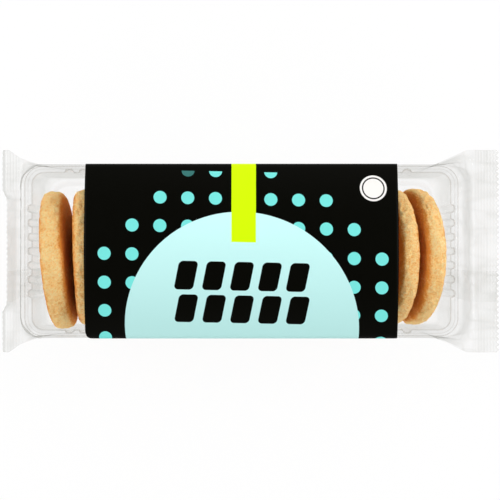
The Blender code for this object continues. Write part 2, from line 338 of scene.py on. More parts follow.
class PrintFields:
    """Builds a print from fields of colour, by maths on the sheet's own millimetres."""

    def __init__(self, tree: bpy.types.NodeTree) -> None:
        """Reads the sheet's UV map, whose units are metres, as millimetres."""
        self.tree = tree
        place = add_node(tree, "ShaderNodeUVMap", uv_map="sheet").outputs[0]
        parts = add_node(tree, "ShaderNodeSeparateXYZ", {0: place})
        self.u = self.maths("MULTIPLY", parts.outputs[0], 1000.0)
        self.v = self.maths("MULTIPLY", parts.outputs[1], 1000.0)

    def maths(self, operation: str, *values) -> bpy.types.NodeSocket:
        """One Math node's output."""
        return add_node(self.tree, "ShaderNodeMath", dict(enumerate(values)), operation=operation).outputs[0]

    def inside(self, distance: bpy.types.NodeSocket, reach: float, soft: float = 0.06) -> bpy.types.NodeSocket:
        """1 where distance is less than reach, falling to 0 over a soft edge."""
        return add_node(self.tree, "ShaderNodeMapRange", {
            "Value": distance, "From Min": reach - soft, "From Max": reach + soft,
            "To Min": 1.0, "To Max": 0.0}).outputs[0]

    def from_point(self, u: bpy.types.NodeSocket, v: bpy.types.NodeSocket, at: tuple) -> bpy.types.NodeSocket:
        """Distance of (u, v) from a point."""
        across, along = self.maths("SUBTRACT", u, at[0]), self.maths("SUBTRACT", v, at[1])
        square = self.maths("ADD", self.maths("MULTIPLY", across, across), self.maths("MULTIPLY", along, along))
        return self.maths("SQRT", square)

    def box(self, u: bpy.types.NodeSocket, v: bpy.types.NodeSocket, centre: tuple, half: tuple,
            corner: float) -> bpy.types.NodeSocket:
        """1 inside a box with round corners: its inset box's distance is under the corner radius."""
        gaps = []
        for value, middle, reach in ((u, centre[0], half[0]), (v, centre[1], half[1])):
            away = self.maths("ABSOLUTE", self.maths("SUBTRACT", value, middle))
            gaps.append(self.maths("MAXIMUM", self.maths("SUBTRACT", away, reach - corner), 0.0))
        return self.inside(self.from_point(gaps[0], gaps[1], (0.0, 0.0)), corner)

    def nearest(self, value: bpy.types.NodeSocket, first: float, pitch: float) -> tuple:
        """(the nearest place of a row of even pitch, the distance past it)."""
        steps = self.maths("ROUND", self.maths("DIVIDE", self.maths("SUBTRACT", value, first), pitch))
        place = self.maths("MULTIPLY_ADD", steps, pitch, first)
        return place, self.maths("SUBTRACT", value, place)

    def paint(self, under, colour, mask: bpy.types.NodeSocket) -> bpy.types.NodeSocket:
        """Lays a colour over another where the mask is 1."""
        layer = add_node(self.tree, "ShaderNodeMix", {0: mask}, data_type="RGBA")
        for socket, value in ((layer.inputs[6], under), (layer.inputs[7], colour)):
            if isinstance(value, bpy.types.NodeSocket):
                self.tree.links.new(value, socket)
            else:
                socket.default_value = linear(value)
        return layer.outputs[2]


@dataclass(frozen=True)
class PrintedLabel:
    """Flexo-printed gummed label with a satin varnish: near-black ground and flat colours.

    The print is a pale blue dome at the front, rows of turquoise dots fading off round it, a lime
    strip over the back edge, a plain white disc and a pictogram of biscuits in two rows. The dome's blue
    is lighter towards the crown and darker at its front edge: painted highlight and shade of the label's turn.
    """

    name: str = "flexo_printed_satin_label"
    ground: str = "#060603"
    dome_lit_top: str = "#cdfcfa"
    dome_shaded_front: str = "#b9e7e4"
    dots: str = "#78e4dd"
    strip: str = "#d4fc0a"
    disc: str = "#f4f2ee"
    dome_mm: tuple = (-3.5, -34.2, 51.4)
    dot_first_mm: tuple = (-3.0, 10.4)
    dot_pitch_mm: tuple = (12.11, 12.58)
    dot_radius_mm: float = 2.85
    dot_reach_mm: float = 73.65
    dot_limit_mm: float = 35.4
    strip_mm: tuple = (-8.1, 2.6, 3.9)
    disc_mm: tuple = (54.0, 29.0, 5.9)
    bar_rows_mm: tuple = (-11.0, -25.7)
    bar_pitch_mm: float = 12.2
    bar_half_mm: tuple = (4.2, 6.3)
    bar_lean: float = 0.20

    def build(self) -> bpy.types.Material:
        """The material."""
        material, tree, output = new_material(self.name)
        ink = PrintFields(tree)
        u, v = ink.u, ink.v
        colour = self.dotted(ink)
        dome_u, dome_v, dome_radius = self.dome_mm
        # Painted highlight and shade: the dome's blue lightens from its front edge towards the crown.
        dome_shading = add_node(tree, "ShaderNodeMapRange", {"Value": v, "From Min": dome_v,
                                                     "From Max": dome_v + dome_radius})
        shade = ink.paint(self.dome_shaded_front, self.dome_lit_top, dome_shading.outputs[0])
        colour = ink.paint(colour, shade, ink.inside(ink.from_point(u, v, (dome_u, dome_v)), dome_radius))
        low, high, foot = self.strip_mm
        middle, half = (low + high) / 2.0, (high - low) / 2.0
        reach = 100.0
        colour = ink.paint(colour, self.strip, ink.box(u, v, (middle, foot + reach), (half, reach), 0.1))
        disc_u, disc_v, disc_radius = self.disc_mm
        away = ink.from_point(u, v, (disc_u, disc_v))
        colour = ink.paint(colour, self.disc, ink.inside(away, disc_radius))
        colour = ink.paint(colour, self.ground, ink.inside(away, disc_radius - 0.9))
        colour = ink.paint(colour, self.disc, ink.inside(away, disc_radius - 1.5))
        colour = self.barred(ink, colour)
        self.varnish(tree, output, colour)
        return material

    def dotted(self, ink: PrintFields) -> bpy.types.NodeSocket:
        """The ground with its dots: a square lattice, only within reach of the dome's centre."""
        column, across = ink.nearest(ink.u, self.dot_first_mm[0], self.dot_pitch_mm[0])
        row, along = ink.nearest(ink.v, self.dot_first_mm[1], self.dot_pitch_mm[1])
        dot = ink.inside(ink.from_point(across, along, (0.0, 0.0)), self.dot_radius_mm)
        near = ink.inside(ink.from_point(column, row, self.dome_mm[:2]), self.dot_reach_mm)
        below = ink.inside(ink.v, self.dot_limit_mm)
        return ink.paint(self.ground, self.dots, ink.maths("MULTIPLY", ink.maths("MULTIPLY", dot, near), below))

    def barred(self, ink: PrintFields, under: bpy.types.NodeSocket) -> bpy.types.NodeSocket:
        """Two rows of five leaning bars with round corners, for biscuits standing in a row."""
        for row in self.bar_rows_mm:
            leaning = ink.maths("MULTIPLY_ADD", ink.maths("SUBTRACT", ink.v, row), -self.bar_lean, ink.u)
            place, across = ink.nearest(leaning, self.dome_mm[0], self.bar_pitch_mm)
            bar = ink.box(across, ink.v, (0.0, row), self.bar_half_mm, 1.9)
            five = ink.inside(ink.maths("ABSOLUTE", ink.maths("SUBTRACT", place, self.dome_mm[0])),
                              2.5 * self.bar_pitch_mm)
            under = ink.paint(under, self.ground, ink.maths("MULTIPLY", bar, five))
        return under

    def varnish(self, tree: bpy.types.NodeTree, output: bpy.types.Node, colour: bpy.types.NodeSocket) -> None:
        """The satin face: a weak, soft shine that varies a little over some millimetres."""
        where = add_node(tree, "ShaderNodeTexCoord").outputs["Object"]
        cloud = add_node(tree, "ShaderNodeTexNoise", {"Vector": where, "Scale": 1000.0 / 6.0, "Detail": 2.0})
        rough = add_node(tree, "ShaderNodeMapRange", {"Value": cloud.outputs["Fac"], "To Min": 0.34,
                                                      "To Max": 0.46})
        shader = add_node(tree, "ShaderNodeBsdfPrincipled", {
            "Base Color": colour, "Roughness": rough.outputs[0], "Specular IOR Level": 0.04})
        tree.links.new(shader.outputs[0], output.inputs["Surface"])


# The third colour of each sheet is painted shade along its creases, crimps and fillets.
FILM = ClearSheet("heat_sealed_clear_film", "#fefefe", "#dededc", "#ebebe9", 0.10, 0.004, 0.12, 2.6, 0.05,
                  "#f6f6f4")
SEAM = replace(FILM, name="lapped_clear_film", slanted="#f7f7f6", crease_shade_colour="#f4f4f2")
TRAY = ClearSheet("thermoformed_clear_sheet", "#fefefe", "#fcfcfb", "#e8e6e3", 0.14, 0.004, 0.06, 5.0, 0.10,
                  "#ffffff")


# ---------------------------------------------------------------- the wrap's form


@dataclass
class WrapForm:
    """The wrap's form, which repeats the frame's solid at a finer step.

    A section is two runs of points from -Y to +Y, the upper over the crown and the lower under the
    base, which meet half way up the walls. Past the tray's ends the runs flatten into the seals.
    """

    tray_length: float = 0.1912
    tray_width: float = 0.0750
    rim_height: float = 0.0570
    film_slack: float = 0.0007
    wall_lean: float = 0.0036
    rim_round: float = 0.0020
    base_round: float = 0.0050
    crown_angle: float = math.radians(20.0)
    end_crown_angle: float = math.radians(2.0)
    crown_length: float = 0.0860
    crown_fade: float = 0.0115
    seal_depth: float = 0.0104
    seal_height: float = 0.0340
    seal_thickness: float = 0.00012
    tooth_depth: float = 0.0010
    teeth: int = 38
    panels: dict = field(default_factory=lambda: {Side.LEFT: 0.0042, Side.RIGHT: 0.0093})
    left_root_width: float = 0.0846
    tray_corner: float = 0.0080
    ears: dict = field(default_factory=lambda: {Side.LEFT: (0.0280, 0.0042, 2.0),
                                                Side.RIGHT: (0.0150, 0.0060, 1.0)})
    base_lift: float = 0.0060
    turn_up: float = math.radians(72.0)
    turn_down: float = math.radians(66.0)
    turn_length: float = 0.0030
    corner_flat: float = 0.0052
    corner_start: float = 0.0225
    corner_fade: float = 0.0060
    floor_gap: float = 0.00015
    wall_steps: int = 10
    rim_steps: int = 8
    top_steps: int = 116
    base_round_steps: int = 8
    base_steps: int = 116

    def __post_init__(self) -> None:
        """Takes the tray's middle and the seals' width from the frame's solids."""
        low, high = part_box(PACK_NODE)
        self.seal_width = high.y - low.y
        low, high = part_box(LABEL_NODE)
        self.centre_x = (low.x + high.x) / 2.0
        self.label_length = high.x - low.x
        self.rim_half = self.tray_width / 2.0 + self.film_slack
        self.base_half = self.rim_half - self.wall_lean
        half = self.tray_length / 2.0 + self.film_slack
        self.ends = {side: self.centre_x + side.value * half for side in Side}
        self.roots = {side: self.ends[side] + side.value * self.panels[side] for side in Side}
        self.lean = math.atan2(self.wall_lean, self.rim_height - self.rim_round - self.base_round)
        self.steps = 2 * self.wall_steps + 2 * self.rim_steps + self.top_steps

    def crown_at(self, x: np.ndarray) -> np.ndarray:
        """The crown's angle at the rim: full over the biscuits, eased low past them."""
        past = np.abs(x - self.centre_x) - self.crown_length
        return mix(self.crown_angle, self.end_crown_angle, ease(past / self.crown_fade))

    def runs(self, crown: np.ndarray, layer: Layer) -> np.ndarray:
        """The section's run of one layer for each crown angle.

        From half way up the wall a straight wall meets an arc, of the rim above or the base below.
        Above, a parabola follows, whose slope at the rim is the crown's angle; below, the flat base.

        Args:
            crown: crown angles, one for each ring.
            layer: which layer.

        Returns:
            Rings by points by (Y, Z), from -Y to +Y.
        """
        crown = np.asarray(crown)[:, None]
        turn = np.linspace(0.0, 1.0, self.rim_steps + 1)
        angle = -self.lean + (math.pi / 2.0 - crown + self.lean) * turn
        rim = np.stack((self.rim_half - self.rim_round + self.rim_round * np.cos(angle),
                        self.rim_height - self.rim_round + self.rim_round * np.sin(angle)), axis=-1)
        turn = np.linspace(0.0, 1.0, self.base_round_steps + 1)
        angle = (-self.lean + (-math.pi / 2.0 + self.lean) * turn)[None] + 0.0 * crown
        base = np.stack((self.base_half - self.base_round + self.base_round * np.cos(angle),
                         self.base_round + self.base_round * np.sin(angle)), axis=-1)
        middle = (rim[:, :1] + base[:, :1]) / 2.0
        arc = rim if layer is Layer.UPPER else base
        up = np.arange(self.wall_steps) / self.wall_steps
        wall = mix(middle, arc[:, :1], up[None, :, None])
        edge = arc[:, -1:]
        if layer is Layer.UPPER:
            t = (np.arange(1, self.top_steps // 2 + 1) / (self.top_steps // 2))[None]
            rise = edge[..., 0] * np.tan(crown) / 2.0
            rest = np.stack((edge[..., 0] * (1.0 - t), edge[..., 1] + rise * (1.0 - (1.0 - t) ** 2)), axis=-1)
        else:
            t = (np.arange(1, self.base_steps // 2 + 1) / (self.base_steps // 2))[None]
            rest = np.stack((edge[..., 0] * (1.0 - t), 0.0 * edge[..., 1] * t), axis=-1)
        half = np.concatenate((wall, arc, rest), axis=1)
        half[..., 1] = np.maximum(half[..., 1], self.floor_gap)
        return np.concatenate((half * (-1.0, 1.0), half[:, -2::-1]), axis=1)

    def body(self, x: np.ndarray, layer: Layer) -> np.ndarray:
        """Points of one layer at rings x, between the seals' roots: rings by points by 3.

        Each point moves from its place on the body's section to its place on the seal's flat
        line: the wall's points spread early, into ears, and the rest come down past the tray's end.
        """
        x = np.asarray(x)
        run = self.runs(self.crown_at(x), layer)
        right = x > self.centre_x
        panel = np.where(right, self.panels[Side.RIGHT], self.panels[Side.LEFT])
        past = np.where(right, x - self.ends[Side.RIGHT], self.ends[Side.LEFT] - x)
        left, right_ear = (np.clip((past + before) / (before + after), 0.0, 1.0) ** power
                           for before, after, power in (self.ears[Side.LEFT], self.ears[Side.RIGHT]))
        flare = np.where(right, right_ear, left)[:, None]
        straight = self.tray_width / 2.0 - self.tray_corner
        corner = np.clip(np.abs(run[..., 0]) - straight, 0.0, self.tray_corner)
        ahead = self.tray_corner - np.sqrt(self.tray_corner ** 2 - corner ** 2)
        fall = ease((past[:, None] + ahead) / (panel[:, None] + ahead))
        lift = ease((past + self.base_lift) / (panel + self.base_lift))[:, None]
        level = fall if layer is Layer.UPPER else lift
        index = np.arange(self.steps + 1)
        inward = np.minimum(np.minimum(index, self.steps - index) / self.wall_steps, 1.0)
        spread = mix(flare, level, inward[None])
        root = np.where(right, self.seal_half(Side.RIGHT, 0.0), self.seal_half(Side.LEFT, 0.0))
        seal_y = self.seal_line()[None] * root[:, None]
        seal_z = self.seal_height + layer.value * self.seal_thickness / 2.0
        points = np.empty((len(x), self.steps + 1, 3))
        points[..., 0] = x[:, None]
        points[..., 1] = mix(run[..., 0], seal_y, spread)
        points[..., 2] = mix(run[..., 1], seal_z, level)
        return points

    def seal_line(self) -> np.ndarray:
        """Where each point is across a seal, from -1 to 1 over its width."""
        return np.linspace(-1.0, 1.0, self.steps + 1)

    def seal_half(self, side: Side, distance: np.ndarray | float) -> np.ndarray:
        """Half a seal's width: the left one still widens over the flat part of its corners."""
        if side is Side.RIGHT:
            return self.seal_width / 2.0 + 0.0 * distance
        return mix(self.left_root_width / 2.0, self.seal_width / 2.0, np.minimum(distance / self.corner_flat, 1.0))

    def seal(self, side: Side, distance: np.ndarray, layer: Layer) -> np.ndarray:
        """Points of one layer of a seal at distances from its root: rings by points by 3.

        The cut is pinked: a triangle wave across it, added to the last rings. The right seal lies
        level. On the left one the middle is turned up and the corners curl down: a curl adds up
        steps along a tilt that eases in over the turn's length.
        """
        line = self.seal_line()[None]
        wave = np.abs((line + 1.0) / 2.0 * self.teeth % 1.0 * 2.0 - 1.0)
        share = ease(distance / self.seal_depth)[:, None] ** 3
        reach = np.asarray(distance)[:, None] + self.tooth_depth * (1.0 - wave) * share
        offset = layer.value * self.seal_thickness / 2.0
        y = line * self.seal_half(side, reach)
        if side is Side.RIGHT:
            droop = 0.0006 * np.sin(y * 95.0) * ease(reach / self.seal_depth)
            return np.stack((self.roots[side] + reach, y, self.seal_height + offset + droop), axis=-1)
        middle = self.curl(reach, lambda at: self.turn_up * ease(at / self.turn_length))
        corner = self.curl(reach, lambda at: -self.turn_down * ease((at - self.corner_flat) / self.turn_length))
        blend = ease((np.abs(y) - self.corner_start) / self.corner_fade)
        run, rise, tilt = (mix(m, c, blend) for m, c in zip(middle, corner))
        return np.stack((self.roots[side] - run + np.sin(tilt) * offset, y,
                         self.seal_height + rise + np.cos(tilt) * offset), axis=-1)

    def curl(self, reach: np.ndarray, tilt_at) -> tuple:
        """(run, rise, tilt) after each reach along a sheet whose tilt is a function of distance."""
        table = np.linspace(0.0, self.seal_depth + 2.0 * self.tooth_depth, 400)
        tilt = tilt_at(table)
        step = table[1] - table[0]
        run = np.concatenate(([0.0], np.cumsum(np.cos(tilt[:-1]) * step)))
        rise = np.concatenate(([0.0], np.cumsum(np.sin(tilt[:-1]) * step)))
        return tuple(np.interp(reach, table, values) for values in (run, rise, tilt))


# ---------------------------------------------------------------- film


@dataclass
class Film:
    """The clear wrap with its crimped end seals, and the lap seam along its underside."""

    form: WrapForm
    end_step: float = 0.00045
    side_step: float = 0.0010
    label_step: float = 0.0060
    seal_step: float = 0.00030
    crimp_pitch: float = 0.0013
    crimp_height: float = 0.00007
    seam_columns: tuple = (38, 61)
    seam_lift: float = 0.00009
    seam_thickness: float = 0.00005

    def rings(self) -> tuple[np.ndarray, np.ndarray]:
        """(X of the body's rings, distances of a seal's rings): close together at the ends."""
        form = self.form
        low, high = form.roots[Side.LEFT], form.roots[Side.RIGHT]
        inner_low, inner_high = form.ends[Side.LEFT] + 0.0085, form.ends[Side.RIGHT] - 0.0085
        label_low = form.centre_x - form.label_length / 2.0
        label_high = form.centre_x + form.label_length / 2.0
        stations = ((low, inner_low, self.end_step), (inner_low, label_low, self.side_step),
                    (label_low, label_high, self.label_step), (label_high, inner_high, self.side_step),
                    (inner_high, high, self.end_step))
        x = [np.linspace(a, b, max(2, round((b - a) / step)), endpoint=False) for a, b, step in stations]
        count = round(form.seal_depth / self.seal_step)
        return np.append(np.concatenate(x), high), np.linspace(0.0, form.seal_depth, count + 1)[1:]

    def layer_points(self, layer: Layer) -> tuple[np.ndarray, np.ndarray, np.ndarray]:
        """One layer of the wrap, from the left cut to the right cut.

        Creases are lines of noise stretched along or across the pack, strongest round the tray's
        ends. Crimps are a sine of the distance along a seal.

        Args:
            layer: which layer.

        Returns:
            The points (rings by columns by 3), how much painted shade each carries along its creases, crimps and
            taut fold, and how hazy.
        """
        form = self.form
        x, distance = self.rings()
        left = form.seal(Side.LEFT, distance[::-1], layer)
        right = form.seal(Side.RIGHT, distance, layer)
        body = form.body(x, layer)
        points = np.concatenate((left, body, right))
        normals = grid_normals(points) * layer.value
        along = np.concatenate((distance[::-1], np.zeros(len(x)), distance))[:, None]
        in_seal = ease(along / 0.0012)
        place = points.copy()
        place[..., 2] *= 1.0 if layer is Layer.UPPER else 1.7
        near_end = ease((np.abs(points[..., 0] - form.centre_x) - 0.0800) / 0.0120)
        inward = np.minimum(np.arange(form.steps + 1), form.steps - np.arange(form.steps + 1))
        free = ease(inward / (form.wall_steps * 0.8))[None]
        covered = ease((form.label_length / 2.0 + 0.004 - np.abs(points[..., 0] - form.centre_x)) / 0.004)
        off_base = ease((points[..., 2] - 0.0004) / 0.004)
        lengthways = folds(place, (0.016, 0.0042, 0.012), 11 + layer.value, 5.0)
        crossways = folds(place, (0.0050, 0.022, 0.014), 31 + layer.value, 6.0)
        broad = folds(place, (0.019, 0.013, 0.017), 51 + layer.value, 3.0)
        crease_and_shade = np.clip(0.55 * lengthways + 0.55 * crossways + 0.25 * broad, 0.0, 1.0)
        height = (0.00042 * near_end * crease_and_shade + 0.00016 * broad) * (1.0 - covered) * off_base
        height *= free * (1.0 - 0.65 * in_seal)
        crimp = self.crimp_height * np.sin(2.0 * math.pi * along / self.crimp_pitch) * in_seal * layer.value
        points = points + normals * (height + crimp)[..., None]
        tension_shade = self.taut_fold_shade(points) if layer is Layer.UPPER else 0.0
        fading = 0.35 + 0.65 * near_end
        lines = 0.5 - 0.5 * np.cos(2.0 * math.pi * along / self.crimp_pitch)
        patchy = value_noise(place, (0.006, 0.012, 0.02), 71)
        # The mark is painted shade: darker along the creases and the seal's crimp ridges, and along the taut fold.
        mark = crease_and_shade * fading * (1.0 - covered) * off_base * 0.55 + 0.35 * in_seal * lines * patchy
        return points, np.clip(mark + 0.15 * tension_shade, 0.0, 1.0), in_seal * (0.4 + 0.6 * patchy)

    def taut_fold_shade(self, points: np.ndarray) -> np.ndarray:
        """Painted shade along a drawn line of film from the tray's right back corner up the slope of its ear,
        where the film is taut; the line has no shape of its own.
        """
        start, end = np.array((0.0695, 0.0330)), np.array((0.0823, 0.0383))
        way = end - start
        offset = points[..., :2] - start
        share = np.clip((offset @ way) / (way @ way), 0.0, 1.0)
        away = np.linalg.norm(offset - share[..., None] * way, axis=-1)
        return np.exp(-(away / 0.0004) ** 2) * (points[..., 2] > self.form.seal_height + 0.004)

    def build(self) -> list[bpy.types.Object]:
        """Makes the wrap as one closed skin, and the seam as a thin strip under it."""
        material = FILM.build()
        upper, upper_mark, upper_haze = self.layer_points(Layer.UPPER)
        lower, lower_mark, lower_haze = self.layer_points(Layer.LOWER)
        loop = np.concatenate((upper, lower[:, ::-1]), axis=1)
        mark = np.concatenate((upper_mark, lower_mark[:, ::-1]), axis=1)
        haze = np.concatenate((upper_haze, lower_haze[:, ::-1]), axis=1)
        rings, columns = loop.shape[:2]
        faces = grid_quads(rings, columns, round_columns=True)
        width = columns // 2
        i = np.arange(width - 1)
        left_cut = np.stack((i, i + 1, columns - 2 - i, columns - 1 - i), axis=-1)
        right_cut = (left_cut + (rings - 1) * columns)[:, ::-1]
        faces = np.concatenate((faces, left_cut, right_cut))
        wrap = new_piece("film_wrap", loop, faces.tolist(), material, "clear_film",
                         marks={"crease_and_shade": mark, "haze": haze}, weld=1e-7)
        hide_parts(PACK_NODE)
        return [wrap, self.seam(SEAM.build(), lower, lower_mark, lower_haze)]

    def seam(self, material: bpy.types.Material, lower: np.ndarray, mark: np.ndarray,
             haze: np.ndarray) -> bpy.types.Object:
        """The lap seam: a strip of the lower layer's own columns, lifted off it and closed."""
        first, last = self.seam_columns
        strip = lower[:, first:last + 1]
        normals = grid_normals(lower)[:, first:last + 1]
        near = strip - normals * self.seam_lift
        far = near - normals * self.seam_thickness
        # The seam carries a weaker share of the same painted shade, and of the haze.
        grey = 0.3 * mark[:, first:last + 1]
        hazy = 0.3 * haze[:, first:last + 1]
        points, faces = closed_sheet(far, near)
        piece = new_piece("film_back_seam", points, faces, material, "clear_film",
                          marks={"crease_and_shade": np.stack((grey, grey)), "haze": np.stack((hazy, hazy))})
        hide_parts(PACK_NODE)
        return piece


def closed_sheet(outer: np.ndarray, inner: np.ndarray) -> tuple[np.ndarray, list]:
    """A thin closed sheet from two grids of the same shape.

    Args:
        outer: the grid whose rows-by-columns normal points outwards when its quads are reversed.
        inner: the grid on the other side.

    Returns:
        Both grids' points, and faces: the two grids and a border of quads round them.
    """
    rows, columns = outer.shape[:2]
    quads = grid_quads(rows, columns)
    count = rows * columns
    top, right = np.arange(columns), np.arange(rows) * columns + columns - 1
    bottom, left = (rows - 1) * columns + np.arange(columns)[::-1], np.arange(rows)[::-1] * columns
    border = np.concatenate((top[:-1], right[:-1], bottom[:-1], left[:-1]))
    after = np.roll(border, -1)
    rim = np.stack((border, after, after + count, border + count), axis=-1)
    faces = np.concatenate((quads[:, ::-1], quads + count, rim[:, ::-1]))
    return np.stack((outer, inner)), faces.tolist()


# ---------------------------------------------------------------- tray


@dataclass
class Tray:
    """The clear thermoformed tray: a flange with a bead, fluted walls, and a flat floor."""

    form: WrapForm
    flange_drop: float = 0.0004
    floor_height: float = 0.0008
    thickness: float = 0.00030
    outer_corner: float = 0.0080
    end_inset: tuple = (0.00355, 0.0054)
    side_inset: tuple = (0.00300, 0.0040)
    side_fillet_inset: float = 0.0028
    floor_corner: float = 0.0090
    lip_height: float = 0.0012
    bead_inset: float = 0.0014
    bead_step: float = 0.00035
    end_flutes: int = 7
    end_flute_pitch: float = 0.00625
    end_flute_half: float = 0.00175
    end_flute_depth: float = 0.0016
    side_flutes: int = 25
    side_flute_pitch: float = 0.00620
    side_flute_half: float = 0.0019
    side_flute_depth: float = 0.0013
    flex: float = 0.0019
    foot_share: float = 0.86
    floor_fillet: float = 0.0035
    mouth_fillet: float = 0.0007
    lip_round: float = 0.00045
    long_step: float = 0.00042
    end_step: float = 0.00050
    corner_steps: int = 12

    def profile(self) -> dict[str, np.ndarray]:
        """The wall's profile from the lip to the floor, as arrays by level.

        share is how far the level is from the mouth (0) to the floor (1), lip the inset over the
        flange, z the height, edge how much painted shade lies along a fillet there, and flute how deep the flutes
        are.
        """
        top = self.form.rim_height - self.flange_drop
        rows = [(0.0, 0.0, top - self.lip_height, 0.55, 0.0), (0.0, 0.00002, top - 0.0005, 0.85, 0.0)]
        for angle in np.linspace(0.0, math.pi / 2.0, 5):
            rows.append((0.0, self.lip_round * (1.0 - math.cos(angle)),
                         top - self.lip_round * (1.0 - math.sin(angle)),
                         0.85 * math.cos(angle) ** 2, 0.0))
        for step in np.linspace(0.0, 1.0, 4):
            rows.append((0.0, self.bead_inset + 0.0005 * step, top - self.bead_step * ease(step),
                         0.32 * math.sin(math.pi * step), 0.0))
        low = top - self.bead_step
        rows.append((0.0, 0.0026, low, 0.0, 0.6))
        radius = self.mouth_fillet
        for angle in np.linspace(0.15, math.pi / 2.0, 6):
            rows.append((0.0, 0.00285 + radius * math.sin(angle), low - radius * (1.0 - math.cos(angle)),
                         0.95 * math.sin(angle) ** 2, 1.0))
        foot = self.floor_height + self.floor_fillet
        for share in np.linspace(0.02, 1.0, 8):
            rows.append((share * self.foot_share, self.end_inset[0], mix(low - radius, foot, share), 0.10 * (1.0 - share), 1.0))
        for angle in np.linspace(0.2, math.pi / 2.0, 6):
            rows.append((self.foot_share + (1.0 - self.foot_share) * math.sin(angle), self.end_inset[0],
                         foot - self.floor_fillet * (1.0 - math.cos(angle)),
                         0.16 * math.sin(2.0 * angle), 1.0 - angle / math.pi * 2.0))
        table = np.array(rows)
        return dict(zip(("share", "lip", "z", "edge", "flute"), table.T))

    def outline(self, half_x: np.ndarray, half_y: np.ndarray, radius: np.ndarray) -> np.ndarray:
        """Rounded rectangles, one for each level: levels by points by 2, counter-clockwise.

        Each side runs evenly between its corners' tangent points, and each corner is an arc.
        """
        half_x, half_y, radius = (np.asarray(v)[:, None] for v in (half_x, half_y, radius))
        long_count = round(self.form.tray_length / self.long_step)
        end_count = round(self.form.tray_width / self.end_step)
        parts = []
        for quarter, count in enumerate((end_count, long_count, end_count, long_count)):
            t = np.linspace(-1.0, 1.0, count)[None]
            turn = quarter * math.pi / 2.0
            along, out = (half_y, half_x) if quarter % 2 == 0 else (half_x, half_y)
            across = (along - radius) * t
            parts.append(np.stack((out * math.cos(turn) - across * math.sin(turn),
                                   out * math.sin(turn) + across * math.cos(turn)), axis=-1))
            angle = turn + np.linspace(0.0, math.pi / 2.0, self.corner_steps + 1)[None, 1:-1]
            sign_x = 1.0 if quarter in (0, 3) else -1.0
            sign_y = 1.0 if quarter in (0, 1) else -1.0
            parts.append(np.stack((sign_x * (half_x - radius) + radius * np.cos(angle),
                                   sign_y * (half_y - radius) + radius * np.sin(angle)), axis=-1))
        return np.concatenate(parts, axis=1)

    def flutes(self, place: np.ndarray, count: int, pitch: float, half: float) -> tuple:
        """(bulge, slope) of a row of half-round flutes at places along a wall, each from 0 to 1."""
        nearest = np.clip(np.round(place / pitch), -(count // 2), count // 2) * pitch
        share = np.clip(np.abs(place - nearest) / half, 0.0, 1.0)
        return np.sqrt(1.0 - share ** 2), ease((share - 0.45) / 0.35) * (share < 0.999)

    def points(self) -> tuple[np.ndarray, np.ndarray]:
        """The tray's surface (levels by points by 3), and how much painted shade lies on each point along the
        fillets and the flutes' sides.
        """
        form, rows = self.form, self.profile()
        half_x = form.tray_length / 2.0 - np.minimum(rows["lip"], self.end_inset[0])
        half_x -= rows["share"] * (self.end_inset[1] - self.end_inset[0])
        half_y = form.tray_width / 2.0 - np.minimum(rows["lip"] / self.end_inset[0] * self.side_inset[0],
                                                    self.side_inset[0])
        half_y -= rows["share"] * (self.side_inset[1] - self.side_inset[0])
        half_y -= np.clip((rows["share"] - self.foot_share) / (1.0 - self.foot_share), 0.0, 1.0) * self.side_fillet_inset
        mouth = np.clip(rows["lip"] / self.end_inset[0], 0.0, 1.0)
        mouth_corner = self.outer_corner - 0.0028
        radius = self.outer_corner - 0.0028 * mouth + rows["share"] * (self.floor_corner - mouth_corner)
        flat = self.outline(half_x, half_y, radius)
        level = rows["z"][:, None]
        depth = rows["flute"][:, None] * (1.0 - 0.45 * rows["share"][:, None])
        at_end = np.abs(flat[..., 0]) > (half_x - 0.0001)[:, None]
        at_side = np.abs(flat[..., 1]) > (half_y - 0.0001)[:, None]
        bulge_end, slope_end = self.flutes(flat[..., 1], self.end_flutes, self.end_flute_pitch,
                                           self.end_flute_half)
        bulge_side, slope_side = self.flutes(flat[..., 0] + form.centre_x + 0.0052, self.side_flutes,
                                             self.side_flute_pitch, self.side_flute_half)
        push_x = np.sign(flat[..., 0]) * at_end * depth * bulge_end * self.end_flute_depth
        shallow = np.clip(1.0 - 6.0 * rows["share"], 0.0, 1.0)[:, None] ** 2
        push_y = np.sign(flat[..., 1]) * at_side * depth * shallow * bulge_side * self.side_flute_depth
        swell = np.exp(-((flat[..., 0] + 0.078) / 0.016) ** 2) * (flat[..., 1] < 0.0)
        swell = swell * np.sin(math.pi * np.clip((rows["z"][:, None] - 0.002) / 0.054, 0.0, 1.0)) * self.flex
        points = np.empty((*flat.shape[:2], 3))
        points[..., 0] = form.centre_x + flat[..., 0] + push_x
        points[..., 1] = flat[..., 1] + push_y - swell
        points[..., 2] = level
        # Painted shade: the fillets, the bead and the sloping sides of the flutes are darkened in colour.
        edge = rows["edge"][:, None] * np.ones(flat.shape[:2])
        flute_side_shade = (slope_end * at_end + slope_side * at_side * shallow) * depth
        edge = np.clip(edge + 0.35 * flute_side_shade * (1.0 - 0.7 * rows["share"][:, None]), 0.0, 1.0)
        return points, edge

